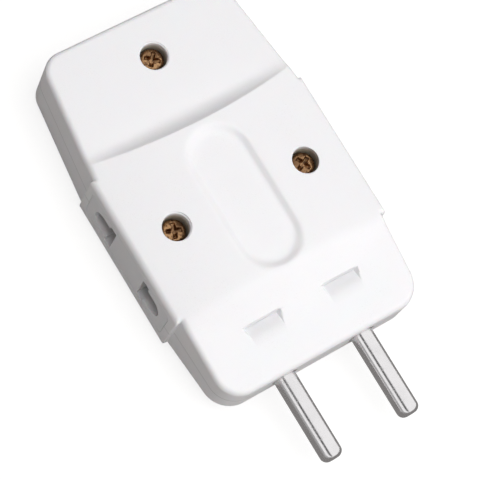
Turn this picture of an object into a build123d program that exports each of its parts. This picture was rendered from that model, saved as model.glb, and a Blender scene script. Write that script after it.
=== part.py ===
"""Three-way plug adapter: a moulded two-part body with three outlets round it and two round pins.

Axes: +X runs out along the pins, +Z points to the screw side, origin in the plug face midway
between the two pins, on the parting plane. All sizes are in millimetres.
"""
import math
import os

from build123d import *

os.makedirs("parts", exist_ok=True)

# Plug pins
pin_pitch = 19.0
pin_dia = 4.8
pin_length = 19.0
pin_tip_chamfer = 1.1
shank_dia = 5.6              # thicker stretch that fills the nose wall
tail_radius = 3.4            # rear end, held between the shells
tail_start = -4.2
tail_length = 9.4
tail_flat_setback = 1.6
pin_channel_fit = 0.05       # radial clearance of a pin in its channel

# Body plan
nose_length = 18.5
panel_length = 33.3
head_length = 27.0
panel_half_width = 25.6
nose_step = 1.1              # the nose is set in from the outlet sides
nose_taper = 0.6
head_step = 0.7              # the head is set in less, and narrows to the rear
head_taper = 3.3
nose_corner = 5.5
head_corner = 4.2

# Body heights above and below the parting plane
side_height = 7.2
crown_rise = 2.4             # middle of the raised pad above its side edges
head_drop = 0.4              # head's top below the side edges of the pad
nose_fall = 2.7              # drop of the wedge from the pad to the plug face, above and below
base_rise = 1.3              # flat foot under the body
base_margin = 8.2
rim_chamfer = 0.8
base_chamfer = 0.8

# Raised pad: short curved step to the head, longer curved slope to the nose
rear_step_setback = 3.8
rear_step_radius = 600.0
rear_step_angle = 38.0
rear_crest_round = 1.2
front_slope_reach = 6.1
front_slope_radius = 104.0
front_slope_angle = 31.0
front_crest_round = 2.4
front_foot_round = 2.4

# Finger groove and nose notches
groove_length = 30.0
groove_width = 11.9
groove_depth = 1.15
groove_shift = 0.45
groove_slope = 38.0
notch_width = 7.6
notch_setback = 11.6         # rear wall of a notch behind the plug face
notch_length = 6.4
notch_depth = 1.2
notch_climb = 0.45

# Walls
wall = 3.4
roof = 2.3
floor_plate = 2.2
nose_wall = 4.6
inner_corner = 2.2

# Outlet face plates
plate_half_length = 14.6
plate_half_height = 4.85
plate_corner = 1.2
plate_thickness = 2.6
flange_overlap = 0.75
flange_front = 1.3
plate_fit = 0.08             # gap between a plate and its window
slot_offset = 6.35
slot_width = 2.1
slot_half_height = 3.7
round_offset = 9.5
round_radius = 2.65

# Brass parts
sheet = 0.6
throat = 2.3                 # half gap between the two leaves of a clip
leaf_width = 4.8
leaf_gap = 0.2               # from the blade slot to the leaves beside it
leaf_start = 2.9
flare_length = 1.5
flare_rise = 0.7
web_depth = 19.7
tab_length = 4.9
rivet_setback = 2.9
rivet_radius = 1.0
rivet_head_radius = 1.7
rivet_head = 0.6
rivet_fit = 0.04
bar_half_width = 3.2
land_margin = 1.9
land_half_length = 2.6
pin_rivet_depth = 2.0
bar_clearance = 0.12         # above and below a bar, in the nose

# Insulating card
card_gap = 0.8               # to the clip webs on both sides
card_thickness = 1.0
card_overhang = 2.2
card_corner = 1.0

# Screws
side_screw_shift = -0.25
side_screw_inset = 9.9
rear_screw_inset = 9.6
recess_radius = 3.1
recess_gap = 0.55            # round the screw head
screw_head_height = 1.9
screw_head_chamfer = 0.6
side_recess_depth = 2.2
rear_recess_depth = 1.6
shank_radius = 1.45
shank_fit = 0.08
shank_end = 2.2              # above the underside
boss_wall = 1.1
cross_width = 0.85
cross_length = 3.5
cross_depth = 1.2

# Ribs that hold the clips, the bars and the card
rib_thickness = 1.4
rib_length = 3.6
rib_depths = (7.0, 14.5)
stop_thickness = 1.3
stop_gap = 0.1
post_thickness = 0.7

# Sizes that follow from those above
panel_rear = -nose_length - panel_length
body_rear = panel_rear - head_length
outlet_x = -nose_length - panel_length / 2
nose_half_width = panel_half_width - nose_step
nose_front_half_width = nose_half_width - nose_taper
head_half_width = panel_half_width - head_step
head_rear_half_width = head_half_width - head_taper
head_height = side_height - head_drop
nose_front_height = side_height - nose_fall
crown_height = side_height + crown_rise
pad_radius = (panel_half_width ** 2 + crown_rise ** 2) / (2 * crown_rise)
tail_end = tail_start - tail_length
leaf_inner = slot_offset + slot_width / 2 - leaf_gap
leaf_outer = leaf_inner + leaf_width
blade_leaf = slot_offset - slot_width / 2 + leaf_gap / 2 - sheet
clip_middle = (leaf_inner + leaf_outer) / 2
tab_end = web_depth + tab_length
rivet_depth = web_depth + rivet_setback
side_screw_x = outlet_x + side_screw_shift
side_screw_y = panel_half_width - side_screw_inset
rear_screw_x = body_rear + rear_screw_inset
screw_head_radius = recess_radius - recess_gap
boss_radius = recess_radius + boss_wall
shank_bottom = shank_end - side_height
pad_at_screw = crown_height - side_screw_y ** 2 / (2 * pad_radius)
side_head_top = pad_at_screw - side_recess_depth
rear_head_top = head_height - rear_recess_depth
level_high = throat + sheet
pin_rivet_x = (tail_start - tail_flat_setback + tail_end) / 2
card_half_width = panel_half_width - web_depth - card_gap
card_front = outlet_x + leaf_outer + card_overhang
card_rear = outlet_x - leaf_outer - card_overhang
past = 3.0                   # how far a cutting shape runs past what it cuts
tall = 4 * side_height
wide = 2 * panel_half_width


def slab(x0, x1, y0, y1, z0, z1):
    """Rectangular block between two corners."""
    return Pos((x0 + x1) / 2, (y0 + y1) / 2, (z0 + z1) / 2) * Box(x1 - x0, y1 - y0, z1 - z0)


def rod(x, y, z0, z1, radius):
    """Upright cylinder between two heights, given in either order."""
    return Pos(x, y, (z0 + z1) / 2) * Cylinder(radius, abs(z1 - z0))


def shaft(y, x0, x1, radius):
    """Cylinder along X between two places, at the height of the parting plane."""
    return Pos((x0 + x1) / 2, y, 0) * Rot(0, 90, 0) * Cylinder(radius, abs(x1 - x0))


def section_xz(points, half):
    """Outline in the XZ plane, extruded to both sides of the middle."""
    face = make_face(Polyline([(x, 0, z) for x, z in points], close=True))
    return extrude(face, amount=half, dir=(0, 1, 0), both=True)


def edges_where(solid, test):
    """Edges whose centre and bounds pass a test."""
    return [e for e in solid.edges() if test(e.center(), e.bounding_box())]


def trapezium(x_end, x_join, half_end, half_join, corner):
    """Plan of the head or the nose, narrowing to an end with rounded corners."""
    points = [(x_end, -half_end, 0), (x_join, -half_join, 0), (x_join, half_join, 0), (x_end, half_end, 0)]
    face = make_face(Polyline(points, close=True))
    for y in (-half_end, half_end):
        near = face.vertices().sort_by_distance((x_end, y, 0))[0]
        face = fillet(near, corner)
    return face


def plan(inset, front, z0, z1):
    """Stepped outline of the body, moved in by the wall and extruded."""
    head = trapezium(body_rear + inset, panel_rear + inset + past, head_rear_half_width - inset,
                     head_half_width - inset, max(head_corner - inset, inner_corner))
    nose = trapezium(front, -nose_length - inset - past, nose_front_half_width - inset,
                     nose_half_width - inset, max(nose_corner - inset, inner_corner))
    solid = extrude(Pos(0, 0, z0) * head, amount=z1 - z0)
    solid = solid + extrude(Pos(0, 0, z0) * nose, amount=z1 - z0)
    side = panel_half_width - inset
    return solid + slab(panel_rear + inset, -nose_length - inset, -side, side, z0, z1)


def upper_form(drop):
    """Region under the top surfaces: flat head, crowned pad, wedge-shaped nose."""
    middle = outlet_x
    head = slab(body_rear - past, middle, -wide, wide, -1, head_height - drop)
    nose = section_xz([(middle, -1), (past, -1), (past, nose_front_height - drop),
                       (0, nose_front_height - drop), (-nose_length, side_height - drop),
                       (middle, side_height - drop)], wide)
    crown_axis = crown_height - pad_radius - drop
    start = rear_step_x_at(0) - 2 * past
    end = -nose_length + 3 * past
    crown = Pos((start + end) / 2, 0, crown_axis) * Rot(0, 90, 0) * Cylinder(pad_radius, end - start)
    pad = crown & slab(start, end, -wide, wide, -1, tall)
    spread = math.tan(math.radians(90 - rear_step_angle))
    low = head_height - drop
    rear_axis = rear_step_x_at(0) - rear_step_radius
    under = 1.0
    over = crown_rise + head_drop + past
    rear_cut = Pos(rear_axis, 0, low + (over - under) / 2)
    rear_cut = rear_cut * Cone(rear_step_radius - under * spread, rear_step_radius + over * spread, under + over)
    pad = pad - (rear_cut & slab(start - past, middle, -wide, wide, low - under, low + over))
    pad = pad - slab(start - past, rear_step_x_at(0) - 1, -wide, wide, -2, low - under / 2)
    spread = math.tan(math.radians(90 - front_slope_angle))
    foot_x = -nose_length + front_slope_reach
    foot_z = side_height - nose_fall * front_slope_reach / nose_length - drop
    front_axis = foot_x - front_slope_radius
    over = crown_height - drop - foot_z + past
    slope = Pos(front_axis, 0, foot_z + (over - under) / 2)
    slope = slope * Cone(front_slope_radius + under * spread, front_slope_radius - over * spread, under + over)
    keep = slope + slab(start - past, end + past, -wide, wide, -2, foot_z - under)
    return head + nose + (pad & keep)


def rear_step_x_at(y):
    """Foot of the rear step: an arc that bows towards the pins in the middle."""
    sag = rear_step_radius - math.sqrt(rear_step_radius ** 2 - y ** 2)
    return panel_rear - rear_step_setback - sag


def lower_form(rise):
    """Region above the bottom surfaces: flat underside with the nose rising in a wedge."""
    return section_xz([(body_rear - past, 1), (past, 1), (past, rise - nose_front_height),
                       (0, rise - nose_front_height), (-nose_length, rise - side_height),
                       (body_rear - past, rise - side_height)], wide)


def place(solid, outlet):
    """Carry a part drawn for an outlet, u along the face and v inwards, to its side of the body."""
    if outlet == "left":
        return Pos(outlet_x, -panel_half_width, 0) * solid
    if outlet == "right":
        return Pos(outlet_x, panel_half_width, 0) * Rot(0, 0, 180) * solid
    return Pos(body_rear, 0, 0) * Rot(0, 0, -90) * solid


def holes(start, end):
    """Two socket holes: an upright slot for a flat blade run into a round-ended hole."""
    slot = slab(slot_offset - slot_width / 2, slot_offset + slot_width / 2, start, end,
                -slot_half_height, slot_half_height)
    link = slab(slot_offset, round_offset, start, end, -round_radius, round_radius)
    end_round = Pos(round_offset, (start + end) / 2, 0) * Rot(90, 0, 0) * Cylinder(round_radius, end - start)
    hole = slot + link + end_round
    return hole + mirror(hole, about=Plane.YZ)


def plate_form(fit, start, end):
    """Face plate, or the window for it: a rounded front and a wider flange behind."""
    half = plate_half_length + fit
    tall_half = plate_half_height + fit
    front = slab(-half, half, start, end, -tall_half, tall_half)
    front = fillet(front.edges().filter_by(Axis.Y), plate_corner)
    grow = flange_overlap
    return front + slab(-half - grow, half + grow, flange_front, plate_thickness, -tall_half - grow, tall_half + grow)


def clip(level):
    """Brass clip of one pole: two leaves for a round pin, one side leaf for a flat blade."""
    outer = throat + sheet
    bend = leaf_start + flare_length
    profile = [(leaf_start, -outer - flare_rise), (bend, -outer), (web_depth, -outer), (web_depth, outer),
               (bend, outer), (leaf_start, outer + flare_rise), (leaf_start, throat + flare_rise),
               (bend, throat), (web_depth - sheet, throat), (web_depth - sheet, -throat), (bend, -throat),
               (leaf_start, -throat - flare_rise)]
    face = make_face(Polyline([(leaf_inner, v, z) for v, z in profile], close=True))
    body = extrude(face, amount=leaf_width, dir=(1, 0, 0))
    body = body + slab(blade_leaf, leaf_inner, web_depth - sheet, web_depth, -throat, throat)
    body = body + slab(blade_leaf, blade_leaf + sheet, bend, web_depth, -throat, throat)
    low, high = sorted((level * throat, level * outer))
    body = body + slab(leaf_inner, leaf_outer, web_depth - sheet, tab_end, low, high)
    return body - rod(clip_middle, rivet_depth, low - 1, high + 1, rivet_radius + rivet_fit)


def rivet(x, y, level, inner, outer):
    """Rivet from a clip tab or a pin tail through a bar, with its head on the bar."""
    shank = rod(x, y, level * inner, level * outer, rivet_radius)
    return shank + rod(x, y, level * outer, level * (outer + rivet_head), rivet_head_radius)


def in_place(solid, outlet, side):
    """Mirror a part to one side of its outlet and carry it there."""
    return place(solid if side > 0 else mirror(solid, about=Plane.YZ), outlet)


# Levels: the line parts lie below the parting plane and the neutral ones above it, so their
# bars never meet. The two clips of one outlet belong to different poles.
level_of = {"line": -1, "neutral": 1}
clips = [("left", 1, "line"), ("left", -1, "neutral"), ("right", 1, "line"), ("right", -1, "neutral"),
         ("rear", 1, "line"), ("rear", -1, "neutral")]

parts = {}
rivet_spots = {"line": [], "neutral": []}
for outlet, side, pole in clips:
    level = level_of[pole]
    parts[f"{outlet}_{pole}_clip"] = in_place(clip(level), outlet, side)
    spot = in_place(rivet(clip_middle, rivet_depth, level, throat, throat + 2 * sheet), outlet, side)
    parts[f"{outlet}_{pole}_rivet"] = spot
    rivet_spots[pole].append((outlet, spot.bounding_box().center()))

for pole, level in level_of.items():
    y = level * pin_pitch / 2
    # Plug pin: bare round shaft, thicker shank in the nose wall, tail with a flat for its bar
    body = shaft(y, 0, pin_length, pin_dia / 2)
    body = chamfer(body.edges().sort_by(Axis.X)[-1], pin_tip_chamfer)
    body = body + shaft(y, tail_start, 0, shank_dia / 2) + shaft(y, tail_end, tail_start, tail_radius)
    flat = sorted((level * level_high, level * (tail_radius + 1)))
    body = body - slab(tail_end - 1, tail_start - tail_flat_setback, y - tail_radius, y + tail_radius, *flat)
    body = body - rod(pin_rivet_x, y, level * (level_high - pin_rivet_depth), level * (tail_radius + 1),
                      rivet_radius + rivet_fit)
    parts[f"{pole}_pin"] = body
    parts[f"{pole}_pin_rivet"] = rivet(pin_rivet_x, y, level, level_high - pin_rivet_depth + 0.2, level_high + sheet)

    # Bar: a spine with a land under each clip tab and an arm to the pin
    low, high = sorted((level * level_high, level * (level_high + sheet)))
    bar_end = body_rear + rivet_depth - land_half_length
    bar = slab(bar_end, pin_rivet_x + land_half_length, -bar_half_width, bar_half_width, low, high)
    bar = bar + slab(pin_rivet_x - land_half_length, pin_rivet_x + land_half_length,
                     min(0, y + level * land_margin), max(0, y + level * land_margin), low, high)
    for outlet, spot in rivet_spots[pole]:
        reach = spot.Y + math.copysign(land_margin, spot.Y)
        bar = bar + slab(spot.X - land_half_length, spot.X + land_half_length, min(0, reach), max(0, reach), low, high)
    spots = [(spot.X, spot.Y) for outlet, spot in rivet_spots[pole]] + [(pin_rivet_x, y)]
    for hole_x, hole_y in spots:
        bar = bar - rod(hole_x, hole_y, low - 1, high + 1, rivet_radius + rivet_fit)
    parts[f"{pole}_bar"] = bar

card = slab(card_rear, card_front, -card_half_width, card_half_width, -card_thickness / 2, card_thickness / 2)
parts["insulating_card"] = fillet(card.edges().filter_by(Axis.Z), card_corner)

# Screws with a cross recess
screws = [("left_screw", side_screw_x, -side_screw_y, side_head_top, 20.0),
          ("right_screw", side_screw_x, side_screw_y, side_head_top, 65.0),
          ("rear_screw", rear_screw_x, 0.0, rear_head_top, 40.0)]
for name, x, y, top, turn in screws:
    seat = top - screw_head_height
    head = rod(x, y, seat, top, screw_head_radius)
    head = chamfer(head.edges().filter_by(GeomType.CIRCLE).sort_by(Axis.Z)[-1], screw_head_chamfer)
    cross = Box(cross_length, cross_width, cross_depth * 2) + Box(cross_width, cross_length, cross_depth * 2)
    body = head + rod(x, y, shank_bottom, seat, shank_radius)
    parts[name] = body - Pos(x, y, top) * Rot(0, 0, turn) * cross

for outlet in ("left", "right", "rear"):
    plate = plate_form(0, 0, plate_thickness) - holes(-past, plate_thickness + past)
    parts[f"{outlet}_outlet_face"] = place(plate, outlet)

# Outer form of the top shell, with its soft crests and rims
top_outer = plan(0, 0, 0, tall) & upper_form(0)
crests = edges_where(top_outer, lambda c, b: b.max.Z > crown_height - 0.1 and b.size.Y > panel_half_width)
crest_rear, crest_front = sorted(crests, key=lambda e: e.center().X)[::len(crests) - 1]
top_outer = fillet(crest_rear, rear_crest_round)
crest_front = edges_where(top_outer, lambda c, b: b.max.Z > crown_height - 0.1 and b.size.Y > panel_half_width)
top_outer = fillet(max(crest_front, key=lambda e: e.center().X), front_crest_round)
feet = edges_where(top_outer, lambda c, b: b.size.Y > panel_half_width and b.min.X > -nose_length
                   and nose_front_height + 0.1 < b.max.Z < side_height)
top_outer = fillet(feet, front_foot_round)


def rim(solid, level, x_low, x_high):
    """Edges along the outside of the head or the nose, on the top or the underside."""
    edge_tests = []
    for e in solid.edges():
        c, b = e.center(), e.bounding_box()
        outside = abs(c.Y) > head_rear_half_width - head_corner - 2 or c.X < body_rear + 0.01 or c.X > -0.01
        high_enough = min(level * b.min.Z, level * b.max.Z) > nose_front_height - 0.1
        if outside and high_enough and x_low < c.X < x_high and b.size.X + b.size.Y > 2:
            edge_tests.append(e)
    return edge_tests


def panel_edges(solid, level):
    """The two long edges of the outlet sides."""
    return edges_where(solid, lambda c, b: abs(abs(c.Y) - panel_half_width) < 0.01
                       and abs(c.Z - level * side_height) < 0.01)


nose_rim = [e for e in rim(top_outer, 1, -nose_length / 1.5, past) if e.bounding_box().max.Z < side_height - 0.2]
top_outer = chamfer(nose_rim, rim_chamfer)
head_rim = rim(top_outer, 1, body_rear - past, panel_rear - 4 * rim_chamfer)
top_outer = chamfer(head_rim, rim_chamfer)
top_outer = chamfer(panel_edges(top_outer, 1), rim_chamfer)

bottom_outer = plan(0, 0, -tall, 0) & lower_form(0)
bottom_outer = chamfer(rim(bottom_outer, -1, body_rear - past, panel_rear - 2), base_chamfer)
bottom_outer = chamfer(rim(bottom_outer, -1, -nose_length + 1, past), base_chamfer)
bottom_outer = chamfer(panel_edges(bottom_outer, -1), base_chamfer)
foot_side = panel_half_width - base_margin
foot = slab(body_rear + base_margin / 2, -nose_length - base_margin / 2, -foot_side, foot_side,
            -side_height - base_rise, -side_height + floor_plate / 2)
foot = fillet(foot.edges().filter_by(Axis.Z), nose_corner)
foot = chamfer(foot.faces().sort_by(Axis.Z)[0].edges(), base_chamfer)
bottom_outer = bottom_outer + foot

# Hollow inside
top_shell = top_outer - (plan(wall, -nose_wall, 0, tall) & upper_form(roof))
bottom_shell = bottom_outer - (plan(wall, -nose_wall, -tall, 0) & lower_form(floor_plate))

# Finger groove and the two nose notches
groove_floor = crown_height - groove_depth
groove = extrude(Pos(outlet_x + groove_shift, 0, groove_floor) * SlotOverall(groove_length, groove_width),
                 amount=groove_depth + past, taper=-groove_slope)
top_shell = top_shell - groove
notch_surface = side_height - nose_fall * (nose_length - notch_setback) / nose_length
notch_rear_floor = notch_surface - notch_depth
for side in (-1, 1):
    notch = section_xz([(-notch_setback, notch_rear_floor),
                        (notch_length - notch_setback, notch_rear_floor + notch_climb),
                        (notch_length - notch_setback, tall), (-notch_setback, tall)], notch_width / 2)
    top_shell = top_shell - Pos(0, side * pin_pitch / 2, 0) * notch

# Screw bosses, recesses and pilot holes
for name, x, y, top, turn in screws:
    seat = top - screw_head_height
    top_shell = top_shell + (rod(x, y, 0, tall, boss_radius) & top_outer)
    top_shell = top_shell - rod(x, y, seat, tall, recess_radius)
    top_shell = top_shell - rod(x, y, -1, seat + 1, shank_radius + shank_fit)
    bottom_shell = bottom_shell + rod(x, y, -side_height + floor_plate / 2, 0, boss_radius)
    bottom_shell = bottom_shell - rod(x, y, shank_bottom - shank_fit, 1, shank_radius + shank_fit)

# Nose wall round the pins, their channels, and room for the bars and rivet heads
arm_room = level_high + sheet + bar_clearance
room_rear = tail_end - 1
room_front = pin_rivet_x + land_half_length + bar_clearance
reach = pin_pitch / 2 + land_margin + bar_clearance
for side in (-1, 1):
    y = side * pin_pitch / 2
    cheek = slab(tail_start - pin_rivet_depth, -nose_wall + 1, y - tail_radius - 1.6, y + tail_radius + 1.6, -tall, tall)
    top_shell = top_shell + (cheek & top_outer)
    bottom_shell = bottom_shell + (cheek & bottom_outer)
    channel = shaft(y, tail_start - 1, past, shank_dia / 2 + pin_channel_fit)
    pocket = shaft(y, tail_end - 1, tail_start, tail_radius + pin_channel_fit)
    top_shell = top_shell - channel - pocket
    bottom_shell = bottom_shell - channel - pocket
head_room = arm_room + rivet_head
top_shell = top_shell - slab(room_rear, room_front, -reach, reach, -1, arm_room)
top_shell = top_shell - rod(pin_rivet_x, pin_pitch / 2, 0, head_room, rivet_head_radius + 0.4)
bottom_shell = bottom_shell - slab(room_rear, room_front, -reach, reach, -arm_room, 1)
bottom_shell = bottom_shell - rod(pin_rivet_x, -pin_pitch / 2, -head_room, 0, rivet_head_radius + 0.4)

# Windows for the outlet plates
for outlet in ("left", "right", "rear"):
    window = place(plate_form(plate_fit, -past, wall + 1.5), outlet)
    top_shell = top_shell - window
    bottom_shell = bottom_shell - window

# Ribs: above and below each clip, beside it, on the bars, at the card and at the pin tails
bar_face = level_high + sheet
ribs = []
for outlet, side, pole in clips:
    for depth in rib_depths:
        rib = Pos(side * clip_middle, depth, 0) * Box(rib_length, rib_thickness, 2 * tall)
        ribs.append((place(rib, outlet), level_high, level_high))
    if outlet != "rear":
        beside = side * (leaf_outer + stop_gap + stop_thickness / 2)
        stop = Pos(beside, sum(rib_depths) / 2, 0) * Box(stop_thickness, rib_length, 2 * tall)
        ribs.append((place(stop, outlet), 0, 0))
for x in (outlet_x - round_offset * 1.5, outlet_x, outlet_x + round_offset * 1.5):
    rest = slab(x - rib_thickness / 2, x + rib_thickness / 2, -rib_thickness, rib_thickness, -tall, tall)
    ribs.append((rest, bar_face, bar_face))
for side in (-1, 1):
    post_y = side * (card_half_width - post_thickness / 2)
    post = slab(outlet_x - rib_thickness, outlet_x + rib_thickness, post_y - post_thickness / 2,
                post_y + post_thickness / 2, -tall, tall)
    ribs.append((post, card_thickness / 2, card_thickness / 2))
    saddle_y = side * pin_pitch / 2
    saddle = slab(tail_end + 0.2, pin_rivet_x - land_half_length - 0.1, saddle_y - 2, saddle_y + 2, -tall, tall)
    if side < 0:
        ribs.append((saddle, tail_radius, level_high))
    else:
        ribs.append((saddle, level_high, tail_radius))
for rib, above, below in ribs:
    upper = rib & slab(body_rear, 0, -wide, wide, above, tall) & (top_outer & upper_form(roof / 2))
    lower = rib & slab(body_rear, 0, -wide, wide, -tall, -below) & (bottom_outer & lower_form(floor_plate / 2))
    top_shell = top_shell + upper
    bottom_shell = bottom_shell + lower

parts["top_shell"] = top_shell
parts["bottom_shell"] = bottom_shell

for name, solid in parts.items():
    export_step(solid, f"parts/{name}.step")
    print(name, len(solid.solids()), round(solid.volume, 2))
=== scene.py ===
# %% [markdown]
# # A white three-way plug adapter
# The object is a moulded plug adapter lying on its flat side. Two shells of glossy white plastic are
# screwed together round three outlets, and two nickel-plated pins come out of the nose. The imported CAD
# model is the fixed frame: each piece below is made in metres at the place that the frame gives.

# %% Load the frame
import math

import bmesh
import bpy
import numpy as np
from mathutils import Matrix, Vector


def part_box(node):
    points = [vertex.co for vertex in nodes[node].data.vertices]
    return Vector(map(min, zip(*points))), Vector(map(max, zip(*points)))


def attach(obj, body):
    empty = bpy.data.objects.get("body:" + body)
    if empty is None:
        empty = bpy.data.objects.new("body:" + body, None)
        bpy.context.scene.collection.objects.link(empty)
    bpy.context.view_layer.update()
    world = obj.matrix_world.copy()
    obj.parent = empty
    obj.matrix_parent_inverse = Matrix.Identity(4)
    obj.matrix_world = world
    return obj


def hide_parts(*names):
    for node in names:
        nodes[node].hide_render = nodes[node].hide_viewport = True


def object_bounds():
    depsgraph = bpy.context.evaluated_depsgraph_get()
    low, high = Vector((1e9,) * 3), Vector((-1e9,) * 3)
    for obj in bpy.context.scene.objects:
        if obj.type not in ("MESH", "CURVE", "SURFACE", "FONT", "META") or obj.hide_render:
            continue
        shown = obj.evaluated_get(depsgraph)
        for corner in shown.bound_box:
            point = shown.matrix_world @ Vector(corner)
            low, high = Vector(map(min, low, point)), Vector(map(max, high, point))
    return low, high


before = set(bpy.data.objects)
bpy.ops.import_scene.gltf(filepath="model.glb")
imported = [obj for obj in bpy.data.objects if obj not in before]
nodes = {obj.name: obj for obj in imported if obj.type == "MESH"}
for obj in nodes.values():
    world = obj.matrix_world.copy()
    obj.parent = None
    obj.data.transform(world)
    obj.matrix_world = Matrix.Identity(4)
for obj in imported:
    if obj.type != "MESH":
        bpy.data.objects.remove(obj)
cad_box = [list(corner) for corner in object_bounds()]
MM, PER_METRE = 0.001, 1000.0
print("frame with", len(nodes), "nodes, box", [[round(v * PER_METRE, 1) for v in corner] for corner in cad_box])

# %% [markdown]
# ## Sizes
# These are the sizes of the mouldings, in millimetres, with x running from the rear end to the plug face
# and y across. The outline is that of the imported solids. Within it the covers differ a little: their
# rims and crests are softer, the head is 0.3 mm higher, the groove and notches have other slopes, and the
# screw recesses are narrower, with a lip. The screw heads stand 0.3 mm higher than the solid ones.

# %% Sizes of the body
REAR, PANEL_REAR, PANEL_FRONT = -78.8, -51.8, -18.5
PANEL_HALF, HEAD_HALF, HEAD_REAR_HALF = 25.6, 24.9, 21.6
NOSE_HALF, NOSE_FRONT_HALF = 24.5, 23.9
HEAD_CORNER, NOSE_CORNER, PANEL_CORNER = 4.2, 5.5, 0.35
SIDE_HEIGHT, HEAD_DROP, CROWN_RISE, NOSE_FALL = 7.2, 0.1, 2.4, 2.7
OUTLET_X = (PANEL_REAR + PANEL_FRONT) / 2
PIN_Y = 9.5
WALL, NOSE_WALL = 3.4, 4.6
print("body", REAR, "to 0 mm long,", 2 * PANEL_HALF, "mm wide at the outlets")

# %% Sizes of the details
STEP_BACK, STEP_RADIUS = 5.0, 450.0
SLOPE_REACH, SLOPE_RADIUS, SLOPE_ANGLE = 6.1, 104.0, 31.0
GROOVE_MIDDLE, GROOVE_LENGTH, GROOVE_WIDTH, GROOVE_ANGLE = OUTLET_X + 0.45, 30.0, 11.9, 42.0
NOTCH_REAR, NOTCH_HALF, NOTCH_RUN = -11.6, 3.8, 4.8
FOOT_END, FOOT_SIDE, FOOT_CORNER = 4.1, 8.2, 5.5
PIN_RADIUS, TIP_ROUND = 2.4, 1.5
# place and turn of each screw, its recess's rim above the solid head, and the level below which its recess
# wall gets painted shade and a painted reflection of the brass head
SCREWS = {"left_screw": (-35.4, -15.7, 20.0), "right_screw": (-35.4, 15.7, 65.0), "rear_screw": (-69.2, 0.0, 40.0)}
RIM_ABOVE = {"left_screw": 2.2, "right_screw": 2.2, "rear_screw": 1.75}
SHADE_BELOW = {"left_screw": 8.6, "right_screw": 8.6, "rear_screw": 7.0}
SOLID_HEAD, PILOT_RADIUS, RECESS_RADIUS = 1.9, 1.53, 2.85
print(len(SCREWS), "screws, pins", 2 * PIN_Y, "mm apart")

# %% [markdown]
# ## Helpers for node trees
# Geometry Nodes and shaders both use Math nodes. Writing a formula as nodes by hand takes many lines, so
# this small class lets a tree's values be added and multiplied in Python, and each sign adds one node.
# A value multiplied by SWITCH and held between 0 and 1 acts as a switch.

# %% A value inside a node tree
SWITCH = 1000.0


class Wire:
    """A socket of a node tree that Python's signs can be used on."""

    def __init__(self, tree, socket):
        self.tree, self.socket = tree, socket

    def math(self, operation, *others):
        node = self.tree.nodes.new("ShaderNodeMath")
        node.operation = operation
        for place, value in zip(node.inputs, (self, *others)):
            if isinstance(value, Wire):
                self.tree.links.new(value.socket, place)
            else:
                place.default_value = value
        return Wire(self.tree, node.outputs[0])

    def __add__(self, other): return self.math("ADD", other)
    def __sub__(self, other): return self.math("SUBTRACT", other)
    def __mul__(self, other): return self.math("MULTIPLY", other)
    def __truediv__(self, other): return self.math("DIVIDE", other)
    def __neg__(self): return self.math("MULTIPLY", -1.0)
    def minus_from(self, value): return (-self) + value
    def size(self): return self.math("ABSOLUTE")
    def root(self): return self.math("SQRT")
    def limited(self, low, high): return self.upper(low).lower(high)
    def over(self, other): return self.math("GREATER_THAN", other)

    def lower(self, other, soft=0.0):
        return self.math("SMOOTH_MIN", other, soft) if soft else self.math("MINIMUM", other)

    def upper(self, other, soft=0.0):
        return self.math("SMOOTH_MAX", other, soft) if soft else self.math("MAXIMUM", other)


def add_node(tree, kind, links=(), **settings):
    """A node with its settings, and with sockets fed by other sockets, wires or plain values."""
    node = tree.nodes.new(kind)
    for name, value in settings.items():
        setattr(node, name, value)
    for key, value in dict(links).items():
        if isinstance(value, Wire):
            value = value.socket
        if isinstance(value, bpy.types.NodeSocket):
            tree.links.new(value, node.inputs[key])
        else:
            node.inputs[key].default_value = value
    return node


def new_tree(name, kind, inputs, outputs):
    """A node group with named inputs and outputs, and its two end nodes."""
    tree = bpy.data.node_groups.new(name, kind)
    for label, (socket, start) in inputs.items():
        item = tree.interface.new_socket(label, in_out="INPUT", socket_type=socket)
        if start is not None:
            item.default_value = start
    for label, socket in outputs.items():
        tree.interface.new_socket(label, in_out="OUTPUT", socket_type=socket)
    return tree, tree.nodes.new("NodeGroupInput"), tree.nodes.new("NodeGroupOutput")


print("helpers for node trees are ready")

# %% [markdown]
# ## Shader groups
# Real mouldings are never one flat colour. Four effects are shared by the finishes: the faint ripple and
# mottle of moulded plastic, fine scratches from handling, dust that settles on what faces up, and the
# fine lines that drawing and plating leave on metal. Each is a group that puts out only masks and heights.

# %% Moulding grain
FLOAT = "NodeSocketFloat"


def noise(tree, vector, scale, detail=2.0, roughness=0.5):
    """A noise texture's value at a scale per metre."""
    node = add_node(tree, "ShaderNodeTexNoise",
                    {"Vector": vector, "Scale": scale, "Detail": detail, "Roughness": roughness})
    return Wire(tree, node.outputs["Fac"])


scales = {"Ripple Scale": (FLOAT, 420.0), "Grain Scale": (FLOAT, 3200.0), "Mottle Scale": (FLOAT, 55.0)}
grain, start, end = new_tree("moulding_grain", "ShaderNodeTree", scales,
                             {"Height": FLOAT, "Mottle": FLOAT, "Sheen": FLOAT})
place = add_node(grain, "ShaderNodeTexCoord").outputs["Object"]
ripple = noise(grain, place, start.outputs["Ripple Scale"], 1.0)
fine = noise(grain, place, start.outputs["Grain Scale"], 2.0)
mottle = noise(grain, place, start.outputs["Mottle Scale"], 3.0, 0.6)
grain.links.new((ripple * 0.75 + fine * 0.25).socket, end.inputs["Height"])
grain.links.new(mottle.socket, end.inputs["Mottle"])
grain.links.new((ripple * 0.5 + mottle * 0.5).socket, end.inputs["Sheen"])
print("moulding_grain has", len(grain.nodes), "nodes")

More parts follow.
